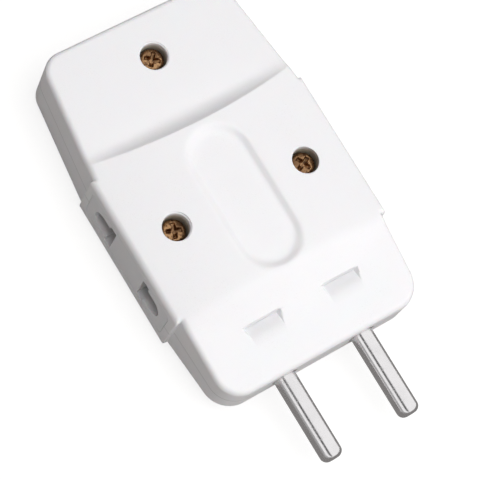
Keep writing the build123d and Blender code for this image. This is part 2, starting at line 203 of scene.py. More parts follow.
# %% Handling scratches
scratches, start, end = new_tree("handling_scratches", "ShaderNodeTree",
                                 {"Density": (FLOAT, 0.5), "Scale": (FLOAT, 1.0)}, {"Mask": FLOAT})
place = add_node(scratches, "ShaderNodeTexCoord").outputs["Object"]
masks = []
for turn, length, width in ((0.4, 55.0, 4200.0), (1.5, 70.0, 5200.0), (2.5, 45.0, 3600.0)):
    turned = add_node(scratches, "ShaderNodeMapping", {"Vector": place, "Rotation": (0.2 * turn, 0.3, turn)})
    spread = add_node(scratches, "ShaderNodeVectorMath",
                      {0: turned.outputs[0], 1: (length, width, width)}, operation="MULTIPLY")
    streak = noise(scratches, spread.outputs[0], 1.0, 0.0)
    masks.append(((streak - 0.68) * 14.0).limited(0.0, 1.0))
patches = noise(scratches, place, 140.0, 1.0)
gate = ((patches + Wire(scratches, start.outputs["Density"]) - 0.85) * 6.0).limited(0.0, 1.0)
scratches.links.new((masks[0].upper(masks[1]).upper(masks[2]) * gate).socket, end.inputs["Mask"])
print("handling_scratches has", len(scratches.nodes), "nodes")

# %% Settled dust
dust, start, end = new_tree("settled_dust", "ShaderNodeTree", {"Amount": (FLOAT, 0.3)}, {"Mask": FLOAT})
place = add_node(dust, "ShaderNodeTexCoord").outputs["Object"]
facing = add_node(dust, "ShaderNodeSeparateXYZ", {0: add_node(dust, "ShaderNodeTexCoord").outputs["Normal"]})
up = Wire(dust, facing.outputs["Z"]).limited(0.0, 1.0)
specks = ((noise(dust, place, 5200.0, 2.0) - 0.60) * 9.0).limited(0.0, 1.0)
clouds = ((noise(dust, place, 160.0, 3.0) - 0.35) * 2.5).limited(0.0, 1.0)
dust.links.new((up * specks * clouds * Wire(dust, start.outputs["Amount"])).socket, end.inputs["Mask"])
print("settled_dust has", len(dust.nodes), "nodes")

# %% Drawn and plated metal
drawn, start, end = new_tree("drawn_metal", "ShaderNodeTree",
                             {"Line Scale": (FLOAT, 5200.0), "Run Scale": (FLOAT, 60.0)},
                             {"Lines": FLOAT, "Cloud": FLOAT})
place = add_node(drawn, "ShaderNodeTexCoord").outputs["Object"]
parts = add_node(drawn, "ShaderNodeSeparateXYZ", {0: place})
along = Wire(drawn, parts.outputs[0]) * Wire(drawn, start.outputs["Run Scale"])
across = [Wire(drawn, parts.outputs[i]) * Wire(drawn, start.outputs["Line Scale"]) for i in (1, 2)]
joined = add_node(drawn, "ShaderNodeCombineXYZ", {0: along, 1: across[0], 2: across[1]})
drawn.links.new(noise(drawn, joined.outputs[0], 1.0, 3.0, 0.6).socket, end.inputs["Lines"])
drawn.links.new(noise(drawn, place, 260.0, 3.0).socket, end.inputs["Cloud"])
print("drawn_metal has", len(drawn.nodes), "nodes")

# %% [markdown]
# ## Finishes
# Each finish is one material with its own Principled BSDF. The groups feed its colour, roughness and
# normal, and everything that is the same all over is set on the shader's own sockets.


# %% Make a material
def mix_colour(tree, mask, first, second):
    """Colour that goes from first to second with a mask."""
    node = tree.nodes.new("ShaderNodeMix")
    node.data_type = "RGBA"
    for index, value in ((0, mask), (6, first), (7, second)):
        if isinstance(value, Wire):
            value = value.socket
        if isinstance(value, bpy.types.NodeSocket):
            tree.links.new(value, node.inputs[index])
        else:
            node.inputs[index].default_value = value if isinstance(value, float) else (*value, 1.0)
    return node.outputs[2]


def group_node(tree, group, **values):
    """A shared group placed in a material, with its own values."""
    node = tree.nodes.new("ShaderNodeGroup")
    node.node_tree = group
    for label, value in values.items():
        node.inputs[label.replace("_", " ")].default_value = value
    return node


def new_material(name, **constants):
    """A material with one Principled BSDF and its plain values set on the shader."""
    material = bpy.data.materials.new(name)
    material.use_nodes = True
    tree = material.node_tree
    shader = tree.nodes["Principled BSDF"]
    for label, value in constants.items():
        shader.inputs[label.replace("_", " ")].default_value = value
    return material, tree, shader


def bump(tree, shader, height, distance, strength=1.0):
    """Feeds a height in metres of relief into the shader's normal."""
    node = add_node(tree, "ShaderNodeBump", {"Height": height, "Distance": distance, "Strength": strength})
    tree.links.new(node.outputs[0], shader.inputs["Normal"])


# %% White moulded plastic
def white_plastic(name, colour, shade, rough, coat, seam=False):
    """Glossy white plastic: ripple, mottle, hairline scratches and a little dust. With seam it also has the
    parting line, painted shade and a painted reflection of the brass heads on the recess walls round the
    screws, and painted shade on the notch floors, greyest at their rear walls."""
    material, tree, shader = new_material(name, IOR=1.53, Coat_Roughness=0.08, Subsurface_Scale=0.002,
                                          Subsurface_Weight=0.08, Coat_Weight=coat)
    surface = group_node(tree, grain)
    wear = group_node(tree, scratches, Density=0.42)
    specks = group_node(tree, dust, Amount=0.35)
    tint = mix_colour(tree, surface.outputs["Mottle"], colour, shade)
    dust_and_shade = mix_colour(tree, specks.outputs["Mask"], tint, (0.60, 0.57, 0.52))
    relief = Wire(tree, surface.outputs["Height"]) - Wire(tree, wear.outputs["Mask"]) * 0.25
    if seam:
        spot = add_node(tree, "ShaderNodeSeparateXYZ", {0: add_node(tree, "ShaderNodeTexCoord").outputs["Object"]})
        x, y, z = (Wire(tree, spot.outputs[i]) * PER_METRE for i in range(3))
        line = (Wire(tree, spot.outputs["Z"]).size() * -9000.0 + 1.6).limited(0.0, 1.0)
        dust_and_shade = mix_colour(tree, line * 0.45, Wire(tree, dust_and_shade), (0.30, 0.28, 0.27))
        relief = relief - line * 1.5
        # painted shade and a painted reflection of the brass head: each recess wall turns olive-brown, darker further
        # below its level in the table above
        for screw, (screw_x, screw_y, turn) in SCREWS.items():
            aside, ahead = x - screw_x, y - screw_y
            inside = ((aside * aside + ahead * ahead).root() * -12.0 + 36.5).limited(0.0, 1.0)
            deep = (z.minus_from(SHADE_BELOW[screw]) / 1.6).limited(0.0, 1.0)
            dust_and_shade = mix_colour(tree, inside * deep * 0.85, Wire(tree, dust_and_shade), (0.30, 0.25, 0.17))
        # painted shade: each notch floor turns grey, greyest at its rear wall and fading out 4.6 mm ahead
        inside = (((y.size() - PIN_Y).size() * -8.0) + 30.0).limited(0.0, 1.0) * (z - 3.0).limited(0.0, 1.0)
        along = ((x - (NOTCH_REAR - 0.1)) * 12.0).limited(0.0, 1.0)
        along = along * ((x - NOTCH_REAR) / -4.6 + 1.0).limited(0.0, 1.0)
        dust_and_shade = mix_colour(tree, inside * along * 0.6, Wire(tree, dust_and_shade), (0.66, 0.65, 0.66))
    tree.links.new(dust_and_shade, shader.inputs["Base Color"])
    gloss = Wire(tree, surface.outputs["Sheen"]) * 0.14 + rough + Wire(tree, wear.outputs["Mask"]) * 0.18
    tree.links.new((gloss + Wire(tree, specks.outputs["Mask"]) * 0.3).socket, shader.inputs["Roughness"])
    bump(tree, shader, relief, 0.00003, 0.5)
    return material


white_moulding = white_plastic("white_moulding", (0.90, 0.892, 0.905), (0.875, 0.865, 0.885), 0.26, 0.05,
                               seam=True)
# the outlet plates are a little greyer than the covers: partly their own tone, partly painted shade for the side
# faces they sit in
white_face = white_plastic("white_face", (0.84, 0.835, 0.85), (0.81, 0.805, 0.83), 0.32, 0.05)
print("white plastics:", white_moulding.name, white_face.name)


# %% Metals and the card
def metal(name, colour, tarnish, rough, line_depth, lines=5200.0, runs=60.0, stain=0.0):
    """Metal with drawn lines, clouds of tarnish and small scratches."""
    material, tree, shader = new_material(name, Metallic=1.0, IOR=1.5)
    texture = group_node(tree, drawn, Line_Scale=lines, Run_Scale=runs)
    wear = group_node(tree, scratches, Density=0.6)
    cloud = ((Wire(tree, texture.outputs["Cloud"]) - 0.45) * 3.0).limited(0.0, 1.0)
    cloud = cloud.upper(((Wire(tree, texture.outputs["Lines"]) - 0.47) * 7.0).limited(0.0, 1.0) * stain)
    tint = mix_colour(tree, cloud, colour, tarnish)
    tree.links.new(tint, shader.inputs["Base Color"])
    lines_mask, scratch_mask = Wire(tree, texture.outputs["Lines"]), Wire(tree, wear.outputs["Mask"])
    gloss = lines_mask * 0.12 + rough + cloud * 0.08 + scratch_mask * 0.15
    tree.links.new(gloss.socket, shader.inputs["Roughness"])
    bump(tree, shader, lines_mask - scratch_mask * 0.4, line_depth, 0.6)
    return material


plated_pin = metal("plated_pin", (0.83, 0.815, 0.82), (0.77, 0.755, 0.76), 0.07, 0.000001)
gilt_screw = metal("gilt_screw", (0.48, 0.28, 0.14), (0.11, 0.052, 0.03), 0.18, 0.00003, 1500.0, 1500.0, 0.9)
contact_brass = metal("contact_brass", (0.80, 0.61, 0.30), (0.62, 0.42, 0.20), 0.22, 0.00002)

fibre_card, tree, shader = new_material("fibre_card", IOR=1.5)
fibres = group_node(tree, drawn, Line_Scale=3000.0, Run_Scale=500.0)
fibre_colour = mix_colour(tree, fibres.outputs["Lines"], (0.30, 0.25, 0.20), (0.42, 0.36, 0.28))
tree.links.new(fibre_colour, shader.inputs["Base Color"])
tree.links.new((Wire(tree, fibres.outputs["Cloud"]) * 0.2 + 0.6).socket, shader.inputs["Roughness"])
bump(tree, shader, fibres.outputs["Lines"], 0.00004, 0.7)
print("metals and card:", plated_pin.name, gilt_screw.name, contact_brass.name, fibre_card.name)

# %% [markdown]
# ## The covers
# Both shells share one outline: a head that narrows to the rear, a panel for the side outlets that stands
# proud, and a nose. Their height over that outline follows a rule of crown, steps, slopes and rounded
# rims, which suits Geometry Nodes: a flat net of points goes in, and the tree lifts each point to its
# height. First comes the net, with rows and columns closer together where the surface bends.


# %% The outline and its net
def half_width(x):
    """Half the width of the body at a place along it, with its rounded corners."""
    if x < PANEL_REAR:
        half = HEAD_REAR_HALF + (HEAD_HALF - HEAD_REAR_HALF) * (x - REAR) / (PANEL_REAR - REAR)
        near, corner = x - REAR, HEAD_CORNER
    elif x > PANEL_FRONT:
        half = NOSE_HALF + (NOSE_FRONT_HALF - NOSE_HALF) * (x - PANEL_FRONT) / -PANEL_FRONT
        near, corner = -x, NOSE_CORNER
    else:
        half = PANEL_HALF
        near, corner = min(x - PANEL_REAR, PANEL_FRONT - x), PANEL_CORNER
    if near < corner:
        half -= corner - math.sqrt(max(corner ** 2 - (corner - near) ** 2, 0.0))
    return half


def stations():
    """Places of the columns, closer at ends, steps, slopes and notch walls."""
    places = set(np.round(np.arange(REAR, 0.01, 0.6), 3))
    for end, corner, sign in ((REAR, HEAD_CORNER, 1), (0.0, NOSE_CORNER, -1)):
        places |= {round(end + sign * corner * (1 - math.cos(a)), 3) for a in np.linspace(0, math.pi / 2, 16)}
        places |= {round(end + sign * d, 3) for d in (0.03, 0.12, 0.27, 0.45, 0.65, 0.85, 1.05)}
    for end, sign in ((PANEL_REAR, 1), (PANEL_FRONT, -1)):
        places |= {round(end + sign * PANEL_CORNER * (1 - math.cos(a)), 3) for a in np.linspace(0, math.pi / 2, 5)}
        places |= {round(end - sign * d, 3) for d in (0.004, 0.12, 0.3, 0.6, 0.9)}
    places |= set(np.round(np.arange(-59.0, -50.0, 0.25), 3)) | set(np.round(np.arange(-20.0, -11.0, 0.3), 3))
    places |= {round(NOTCH_REAR + d, 3) for d in (-0.5, -0.3, -0.18, -0.1, -0.04, 0.02, 0.08, 0.16, 0.28, 0.45)}
    ordered = sorted(places)
    return [x for i, x in enumerate(ordered) if i == 0 or x - ordered[i - 1] > 0.003]


INNER_REACH = 16.8


def rows():
    """Rows on one side of the middle: a distance for those up to INNER_REACH, then shares of what is left."""
    inner = set(np.round(np.arange(0.0, 14.01, 0.5), 3)) | set(np.round(np.arange(5.7, 7.4, 0.2), 3))
    inner |= set(np.round(np.arange(14.4, INNER_REACH + 0.01, 0.4), 3))
    for edge in (PIN_Y - NOTCH_HALF, PIN_Y + NOTCH_HALF):
        inner |= {round(edge + d, 3) for d in (-0.3, -0.15, -0.05, 0.05, 0.15, 0.3, 0.6)}
    shares = [0.05, 0.1, 0.15, 0.2, 0.26, 0.32, 0.38, 0.44, 0.5, 0.56, 0.62, 0.68, 0.74, 0.79, 0.83, 0.865, 0.89,
              0.91, 0.925, 0.94, 0.953, 0.965, 0.975, 0.984, 0.991, 0.997, 1.0]
    return sorted(inner), shares


columns = stations()
inner_rows, outer_shares = rows()
print("net of", len(columns), "columns and", 2 * (len(inner_rows) + len(outer_shares)) - 1, "rows")


# %% Lay the net
def net_mesh(name):
    """Flat net over the outline, a skirt below its edge and a lid on the parting plane."""
    width = 2 * (len(inner_rows) + len(outer_shares)) - 1
    flat = np.zeros((len(columns), width, 2))
    for i, x in enumerate(columns):
        half = half_width(x)
        reach = inner_rows + [INNER_REACH + (half - INNER_REACH) * s for s in outer_shares]
        ys = [-y for y in reversed(reach)] + reach[1:]
        flat[i, :, 0], flat[i, :, 1] = x, ys
    points = flat.reshape(-1, 2)
    index = np.arange(len(points)).reshape(len(columns), width)
    loop = list(index[:, 0]) + list(index[-1, 1:]) + list(index[-2::-1, -1]) + list(index[0, -2:0:-1])
    ring = points[loop]
    step = np.roll(ring, -1, axis=0) - ring
    squared = np.maximum((step ** 2).sum(axis=1), 1e-12)
    edge = np.empty(len(points))
    for k in range(0, len(points), 500):
        gap = points[k:k + 500, None, :] - ring[None]
        share = np.clip((gap * step[None]).sum(axis=2) / squared, 0, 1)
        edge[k:k + 500] = np.sqrt(((gap - share[..., None] * step[None]) ** 2).sum(axis=2).min(axis=1))
    faces = [(index[i, j], index[i + 1, j], index[i + 1, j + 1], index[i, j + 1])
             for i in range(len(columns) - 1) for j in range(width - 1)]
    spots, down = [points], [np.zeros(len(points))]
    last, total = loop, len(points)
    for drop in (0.3, 0.65, 1.0):
        now = list(range(total, total + len(loop)))
        spots.append(ring)
        down.append(np.full(len(loop), drop))
        faces += [(last[k], now[k], now[(k + 1) % len(loop)], last[(k + 1) % len(loop)]) for k in range(len(loop))]
        last, total = now, total + len(loop)
    lid = np.full(len(points), -1)
    lid[loop] = last
    inner = np.flatnonzero(lid < 0)
    lid[inner] = np.arange(total, total + len(inner))
    spots.append(points[inner])
    down.append(np.ones(len(inner)))
    total += len(inner)
    lid = lid.reshape(index.shape)
    faces += [(lid[i, j + 1], lid[i + 1, j + 1], lid[i + 1, j], lid[i, j])
              for i in range(len(columns) - 1) for j in range(width - 1)]
    spots, down = np.concatenate(spots), np.concatenate(down)
    edge = np.concatenate([edge, np.zeros(total - len(edge))])
    mesh = bpy.data.meshes.new(name)
    mesh.from_pydata([(x * MM, y * MM, 0.0) for x, y in spots], [], [tuple(int(v) for v in f) for f in faces])
    for label, values in (("from_edge", edge), ("down_side", down)):
        mesh.attributes.new(label, "FLOAT", "POINT").data.foreach_set("value", values.astype(np.float32))
    return mesh


# %% The tree that lifts the net
def cover_tree():
    """Geometry Nodes: heights of the head, pad, wedge, groove, notches, foot and rims."""
    sizes = {"Side Height": SIDE_HEIGHT, "Head Drop": 0.0, "Crown Rise": 0.0, "Nose Fall": NOSE_FALL,
             "Groove Depth": 0.0, "Notch Depth": 0.0, "Foot Rise": 0.0, "Rim Round": 1.2, "Side": 1.0}
    inputs = {"Geometry": ("NodeSocketGeometry", None), **{k: (FLOAT, v) for k, v in sizes.items()},
              "Finish": ("NodeSocketMaterial", None)}
    tree, start, end = new_tree("moulded_cover", "GeometryNodeTree", inputs, {"Geometry": "NodeSocketGeometry"})
    size = {label: Wire(tree, start.outputs[label]) for label in sizes}
    place = add_node(tree, "ShaderNodeSeparateXYZ", {0: add_node(tree, "GeometryNodeInputPosition").outputs[0]})
    x, y = (Wire(tree, place.outputs[i]) * PER_METRE for i in (0, 1))

    def stored(label):
        node = add_node(tree, "GeometryNodeInputNamedAttribute", {"Name": label}, data_type="FLOAT")
        return Wire(tree, node.outputs["Attribute"])

    def out_of_reach(depth):
        """100 mm where a depth is zero, which lifts the groove or notch clear of the surface."""
        return (depth * SWITCH).minus_from(1.0).upper(0.0) * 100.0

    # flat head behind the outlets, wedge in front of them
    fall = ((x - PANEL_FRONT) / -PANEL_FRONT).limited(0.0, 1.0) * size["Nose Fall"]
    behind = (x * -1.0).over(-OUTLET_X)
    base = size["Side Height"] - fall - behind * size["Head Drop"]
    # crowned pad between a short curved step and a long curved slope
    middle = ((y * y) / PANEL_HALF ** 2).minus_from(1.0)
    crown = size["Side Height"] + size["Crown Rise"] * middle
    rise = (crown - size["Side Height"] + size["Head Drop"]).upper(0.0)
    from_axis = x - (PANEL_REAR - STEP_BACK - STEP_RADIUS)
    from_rear = (from_axis * from_axis + y * y).root() - STEP_RADIUS
    climb = (from_rear / (rise * 0.8 + 2.4)).upper(0.0)
    rear_step = base + rise * climb * climb * climb.root() + (climb - 1.0).upper(0.0) * 5.0
    from_axis = x - (PANEL_FRONT + SLOPE_REACH - SLOPE_RADIUS)
    from_front = (from_axis * from_axis + y * y).root() - SLOPE_RADIUS
    slope_end = SIDE_HEIGHT - NOSE_FALL * SLOPE_REACH / -PANEL_FRONT
    front_slope = from_front * -math.tan(math.radians(SLOPE_ANGLE)) + slope_end
    pad = crown.lower(rear_step, rise * 0.15).lower(front_slope, 1.6)
    under_pad = ((x + 16.0) / -4.0).limited(0.0, 1.0) * 3.0
    blend = middle.upper(0.0) * 2.4 + 0.3
    surface = (base - under_pad).upper(pad, blend)
    # finger groove with sloping sides
    out = ((x - GROOVE_MIDDLE).size() - (GROOVE_LENGTH - GROOVE_WIDTH) / 2).upper(0.0)
    from_groove = (out * out + y * y).root() - GROOVE_WIDTH / 2
    groove_floor = size["Side Height"] + size["Crown Rise"] - size["Groove Depth"]
    groove = (from_groove * math.tan(math.radians(GROOVE_ANGLE)) + groove_floor).upper(groove_floor, 1.0)
    groove = groove + out_of_reach(size["Groove Depth"])
    surface = surface.lower(groove, 0.9)
    # one notch in line with each pin, deepest at its rear wall and running out towards the plug face
    beside = ((y.size() - PIN_Y).size() - NOTCH_HALF).upper(0.0)
    behind_notch = x.minus_from(NOTCH_REAR).upper(0.0)
    run = ((x - NOTCH_REAR) / NOTCH_RUN).limited(0.0, 1.0)
    rest = run.minus_from(1.0)
    notch = size["Side Height"] - fall - size["Notch Depth"] * rest * rest + run * 0.35 + beside * 1.8
    notch = notch + behind_notch * 6.0 + out_of_reach(size["Notch Depth"])
    surface = surface.lower(notch, 0.3)
    # flat foot under the body, with sloping edges
    half_foot = (PANEL_FRONT - FOOT_END - REAR - FOOT_END) / 2
    across = (y.size() - (PANEL_HALF - FOOT_SIDE - FOOT_CORNER)).upper(0.0)
    along = ((x - (REAR + PANEL_FRONT) / 2).size() - (half_foot - FOOT_CORNER)).upper(0.0)
    from_foot = (across * across + along * along).root() - FOOT_CORNER
    onto_foot = (-from_foot * 0.7).limited(0.0, 1.0)
    surface = surface + onto_foot * onto_foot * (onto_foot * -2.0 + 3.0) * size["Foot Rise"]
    # rounded rim, then the side down to the parting plane
    inset = stored("from_edge").lower(size["Rim Round"])
    lack = size["Rim Round"] - inset
    rim = size["Rim Round"] - (size["Rim Round"] * size["Rim Round"] - lack * lack).upper(0.0).root()
    surface = surface - rim
    down = stored("down_side")
    height = surface * down.minus_from(1.0) * size["Side"] * MM
    lift = add_node(tree, "ShaderNodeCombineXYZ", {2: height})
    moved = add_node(tree, "GeometryNodeSetPosition",
                     {"Geometry": start.outputs["Geometry"], "Offset": lift.outputs[0]})
    real = add_node(tree, "GeometryNodeRealizeInstances", {0: moved.outputs[0]})
    finish = add_node(tree, "GeometryNodeSetMaterial",
                      {"Geometry": real.outputs[0], "Material": start.outputs["Finish"]})
    tree.links.new(finish.outputs[0], end.inputs[0])
    return tree


moulded_cover = cover_tree()
print("moulded_cover has", len(moulded_cover.nodes), "nodes")


# %% Run a tree and keep its result
def grow(name, mesh, tree, **values):
    """Runs a Geometry Nodes tree on a mesh and returns the result as a plain object."""
    seed = bpy.data.objects.new(name + "_seed", mesh)
    bpy.context.collection.objects.link(seed)
    modifier = seed.modifiers.new("tree", "NODES")
    modifier.node_group = tree
    for item in tree.interface.items_tree:
        key = item.name.replace(" ", "_")
        if item.in_out == "INPUT" and key in values:
            modifier[item.identifier] = values[key]
    seed.update_tag()
    depsgraph = bpy.context.evaluated_depsgraph_get()
    result = bpy.data.meshes.new_from_object(seed.evaluated_get(depsgraph), preserve_all_data_layers=True,
                                             depsgraph=depsgraph)
    result.name = name
    piece = bpy.data.objects.new(name, result)
    bpy.context.collection.objects.link(piece)
    bpy.data.objects.remove(seed)
    return piece


def face_outwards(piece, merge=0.0):
    """Merges doubles where asked, and turns every face outwards."""
    work = bmesh.new()
    work.from_mesh(piece.data)
    if merge:
        bmesh.ops.remove_doubles(work, verts=work.verts, dist=merge)
    bmesh.ops.recalc_face_normals(work, faces=work.faces)
    work.to_mesh(piece.data)
    work.free()


def clean(piece, merge=0.0000015):
    """Merges points that a cut left on top of each other, and removes the slivers between them."""
    work = bmesh.new()
    work.from_mesh(piece.data)
    bmesh.ops.remove_doubles(work, verts=work.verts, dist=merge)
    bmesh.ops.dissolve_degenerate(work, edges=work.edges, dist=merge)
    bmesh.ops.triangulate(work, faces=[face for face in work.faces if len(face.verts) > 4])
    bmesh.ops.dissolve_degenerate(work, edges=work.edges, dist=merge)
    bmesh.ops.recalc_face_normals(work, faces=work.faces)
    work.to_mesh(piece.data)
    work.free()


def smooth(piece, angle=32.0):
    """Smooth shading, with edges sharper than an angle kept crisp."""
    for face in piece.data.polygons:
        face.use_smooth = True
    piece.data.set_sharp_from_angle(angle=math.radians(angle))


# %% Grow both covers
top_cover = grow("top_cover", net_mesh("top_net"), moulded_cover, Head_Drop=HEAD_DROP, Crown_Rise=CROWN_RISE,
                 Groove_Depth=1.1, Notch_Depth=1.25, Rim_Round=1.2, Side=1.0, Finish=white_moulding)
bottom_cover = grow("bottom_cover", net_mesh("bottom_net"), moulded_cover, Foot_Rise=1.3, Rim_Round=0.9, Side=-1.0,
                    Finish=white_moulding)
for cover in (top_cover, bottom_cover):
    face_outwards(cover)
    print(cover.name, len(cover.data.polygons), "faces")

# %% [markdown]
# ## Openings in the covers
# The covers are hollow, and they are cut for the outlet plates, the pins and the screws. Each cut is a
# plain closed shape. Boolean modifiers take them out of the covers and are applied at once.


# %% Cutting shapes
def cut_block(lows, highs, turn=0.0, shift=(0.0, 0.0), corner=0.0):
    """A block between two corners in millimetres, turned about Z and then moved."""
    work = bmesh.new()
    bmesh.ops.create_cube(work, size=1.0)
    for vert in work.verts:
        vert.co = Vector((a + (b - a) * (c + 0.5) for a, b, c in zip(lows, highs, vert.co)))
    if corner:
        along = [e for e in work.edges if abs((e.verts[0].co - e.verts[1].co).normalized().y) > 0.99]
        bmesh.ops.bevel(work, geom=along, offset=corner, segments=6, profile=0.5, affect="EDGES")
    matrix = Matrix.Translation((*shift, 0.0)) @ Matrix.Rotation(turn, 4, "Z")
    bmesh.ops.transform(work, matrix=matrix, verts=work.verts)
    return work


def cut_turned(profile, segments, axis="Z", centre=(0.0, 0.0, 0.0)):
    """A closed shape turned about an axis from points of radius and level."""
    work = bmesh.new()
    rings = []
    for radius, level in profile:
        if radius < 1e-6:
            rings.append([work.verts.new((0.0, 0.0, level))])
        else:
            angles = [2 * math.pi * k / segments for k in range(segments)]
            rings.append([work.verts.new((radius * math.cos(a), radius * math.sin(a), level)) for a in angles])
    for low, high in zip(rings, rings[1:]):
        for k in range(segments):
            a, b = low[k % len(low)], low[(k + 1) % len(low)]
            c, d = high[(k + 1) % len(high)], high[k % len(high)]
            corners = list(dict.fromkeys((a, b, c, d)))
            if len(corners) > 2:
                work.faces.new(corners)
    turn = Matrix.Rotation(math.pi / 2, 4, "Y") if axis == "X" else Matrix.Identity(4)
    bmesh.ops.transform(work, matrix=Matrix.Translation(centre) @ turn, verts=work.verts)
    bmesh.ops.recalc_face_normals(work, faces=work.faces)
    return work


def as_object(work, name, material=None):
    """A mesh in millimetres made an object in metres."""
    bmesh.ops.scale(work, vec=(MM, MM, MM), verts=work.verts)
    mesh = bpy.data.meshes.new(name)
    work.to_mesh(mesh)
    work.free()
    thing = bpy.data.objects.new(name, mesh)
    bpy.context.collection.objects.link(thing)
    if material:
        mesh.materials.append(material)
    return thing


def boolean(piece, tools, operation="DIFFERENCE"):
    """Cuts or joins closed shapes one after another, and removes them."""
    for tool in tools:
        modifier = piece.modifiers.new("cut", "BOOLEAN")
        modifier.operation, modifier.solver, modifier.object = operation, "EXACT", tool
        depsgraph = bpy.context.evaluated_depsgraph_get()
        result = bpy.data.meshes.new_from_object(piece.evaluated_get(depsgraph), preserve_all_data_layers=True,
                                                 depsgraph=depsgraph)
        piece.modifiers.clear()
        piece.data = result
        bpy.data.objects.remove(tool)


# %% Hollow the covers
OUTLETS = {"left": (0.0, (OUTLET_X, -PANEL_HALF)), "right": (math.pi, (OUTLET_X, PANEL_HALF)),
           "rear": (-math.pi / 2, (REAR, 0.0))}


def cavity(high):
    """Room inside a cover, with the screw bosses left standing."""
    middle = cut_block((REAR + WALL, -HEAD_REAR_HALF + WALL, -high), (-NOSE_WALL, HEAD_REAR_HALF - WALL, high))
    wide = cut_block((PANEL_REAR + WALL, -PANEL_HALF + WALL, -high), (PANEL_FRONT - WALL, PANEL_HALF - WALL, high))
    room = as_object(middle, "room")
    boolean(room, [as_object(wide, "room")], "UNION")
    bosses = [as_object(cut_turned([(0, -20), (4.2, -20), (4.2, 20), (0, 20)], 32, "Z", (x, y, 0)), "boss")
              for x, y, turn in SCREWS.values()]
    boolean(room, bosses)
    return room


boolean(top_cover, [cavity(4.6)])
boolean(bottom_cover, [cavity(5.0)])
print("hollow covers:", len(top_cover.data.polygons), len(bottom_cover.data.polygons), "faces")


# %% Cut the windows, pin channels and screw holes
def shared_cuts():
    """Windows of the outlet plates and channels of the pins, which both covers have."""
    tools = []
    for turn, shift in OUTLETS.values():
        tools.append(as_object(cut_block((-14.68, -2.0, -4.93), (14.68, 4.9, 4.93), turn, shift, 1.25), "window"))
        tools.append(as_object(cut_block((-15.43, 1.3, -5.68), (15.43, 4.9, 5.68), turn, shift), "window"))
    for y in (-PIN_Y, PIN_Y):
        profile = [(0, -5.6), (2.86, -5.6), (2.86, -0.25), (3.1, 0.02), (3.1, 2.0), (0, 2.0)]
        tools.append(as_object(cut_turned(profile, 64, "X", (0, y, 0)), "channel"))
    return tools


boolean(top_cover, shared_cuts())
for name, (x, y, turn) in SCREWS.items():
    head_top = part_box(name)[1][2] / MM
    seat, rim = head_top - SOLID_HEAD, head_top + RIM_ABOVE[name]
    profile = [(0, -1), (PILOT_RADIUS, -1), (PILOT_RADIUS, seat), (RECESS_RADIUS, seat), (RECESS_RADIUS, rim - 0.3),
               (2.93, rim - 0.12), (3.15, rim + 0.02), (3.4, rim + 3), (0, rim + 3)]
    boolean(top_cover, [as_object(cut_turned(profile, 90, "Z", (x, y, 0)), "recess")])
boolean(bottom_cover, shared_cuts())
for x, y, turn in SCREWS.values():
    profile = [(0, -5.08), (PILOT_RADIUS, -5.08), (PILOT_RADIUS, 1), (0, 1)]
    boolean(bottom_cover, [as_object(cut_turned(profile, 48, "Z", (x, y, 0)), "pilot")])
for cover, node in ((top_cover, "top_shell"), (bottom_cover, "bottom_shell")):
    clean(cover)
    smooth(cover, 30.0)
    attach(cover, "root")
    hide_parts(node)
    print(cover.name, len(cover.data.polygons), "faces after the cuts")

# %% [markdown]
# ## Screws and rivets
# All the fasteners are turned parts with a head and a shank, so one tree makes them. Its grid is walked
# down the profile at an even pace: out over the head, down its side, back under it and along the shank.
# A cross is pressed into the head and a thread wound round the shank where their depths aren't zero.


# %% The fastener tree
JOIN = 0.000002


